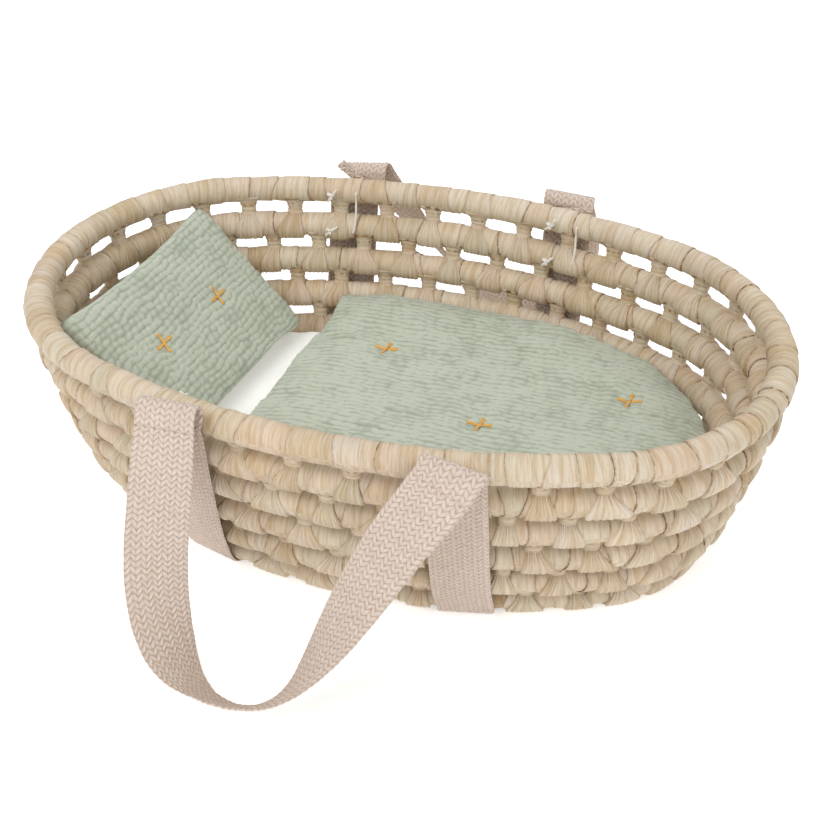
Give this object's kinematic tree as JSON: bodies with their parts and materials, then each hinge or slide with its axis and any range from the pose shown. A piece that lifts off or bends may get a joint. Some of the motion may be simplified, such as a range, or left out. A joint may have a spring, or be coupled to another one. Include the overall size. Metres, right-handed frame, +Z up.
{
  "type": "doll moses basket",
  "caption": "Oval open-weave doll's moses basket of husk-wrapped coils with two webbing carry handles, an oval mattress, a quilt and a small pillow",
  "frame": {"origin": "on the floor under the middle of the base", "axes": "+X from the head (pillow) end to the foot end, +Y to the far side, +Z up"},
  "size_m": [0.4886, 0.4822, 0.158],
  "materials": {
    "husk_filling": "matte, fibrous",
    "husk_strip": "satin, fine fibres along the strip",
    "husk_tie": "satin, pleated",
    "cotton_webbing": "matte, chunky herringbone weave",
    "cotton_twine": "matte, twisted",
    "white_cotton": "matte, smooth plain weave",
    "foam": "matte, open-cell foam",
    "wadding": "matte, loose fibres",
    "sage_muslin": "matte, crinkled double gauze",
    "gold_thread": "satin embroidery thread"
  },
  "bodies": {
    "basket": {"rim_core": "husk_filling", "row_2_core": "husk_filling", "row_3_core": "husk_filling", "row_4_core": "husk_filling", "row_5_core": "husk_filling", "row_6_core": "husk_filling", "base_ring_1_core": "husk_filling", "base_ring_2_core": "husk_filling", "base_ring_3_core": "husk_filling", "base_ring_4_core": "husk_filling", "base_bar_core": "husk_filling", "rim_wrap": "husk_strip", "row_2_wrap": "husk_strip", "row_3_wrap": "husk_strip", "row_4_wrap": "husk_strip", "row_5_wrap": "husk_strip", "row_6_wrap": "husk_strip", "base_ring_1_wrap": "husk_strip", "base_ring_2_wrap": "husk_strip", "base_ring_3_wrap": "husk_strip", "base_ring_4_wrap": "husk_strip", "base_bar_wrap": "husk_strip", "ties_rim_to_row_2": "husk_tie", "ties_row_2_to_row_3": "husk_tie", "ties_row_3_to_row_4": "husk_tie", "ties_row_4_to_row_5": "husk_tie", "ties_row_5_to_row_6": "husk_tie", "base_ties": "husk_tie", "base_bar_ties": "husk_tie", "head_band": "cotton_webbing", "foot_band": "cotton_webbing", "near_head_lashing": "cotton_twine", "far_head_lashing": "cotton_twine", "near_foot_lashing": "cotton_twine", "far_foot_lashing": "cotton_twine"},
    "near_handle": {"near_handle": "cotton_webbing"},
    "far_handle": {"far_handle": "cotton_webbing"},
    "mattress": {"mattress_cover_top": "white_cotton", "mattress_foam": "foam", "mattress_cover_bottom": "white_cotton"},
    "quilt": {"quilt_top": "sage_muslin", "quilt_wadding": "wadding", "quilt_backing": "sage_muslin", "quilt_embroidery": "gold_thread"},
    "pillow": {"pillow_front": "sage_muslin", "pillow_filling": "wadding", "pillow_back": "sage_muslin", "pillow_embroidery": "gold_thread"}
  },
  "joints": [
    {"name": "near_handle_swing", "type": "hinge", "parent": "basket", "child": "near_handle", "pos_m": [0, -0.1555, 0.1505], "axis": [-1, 0, 0], "range_deg": [0, 175]},
    {"name": "far_handle_swing", "type": "hinge", "parent": "basket", "child": "far_handle", "pos_m": [0, 0.1555, 0.1505], "axis": [1, 0, 0], "range_deg": [0, 175]},
    {"name": "mattress_lift", "type": "slide", "parent": "basket", "child": "mattress", "axis": [0, 0, 1], "range_m": [0, 0.3]},
    {"name": "quilt_lift", "type": "slide", "parent": "mattress", "child": "quilt", "axis": [0, 0, 1], "range_m": [0, 0.3]},
    {"name": "pillow_lift", "type": "slide", "parent": "mattress", "child": "pillow", "axis": [0, 0, 1], "range_m": [0, 0.3]}
  ]
}
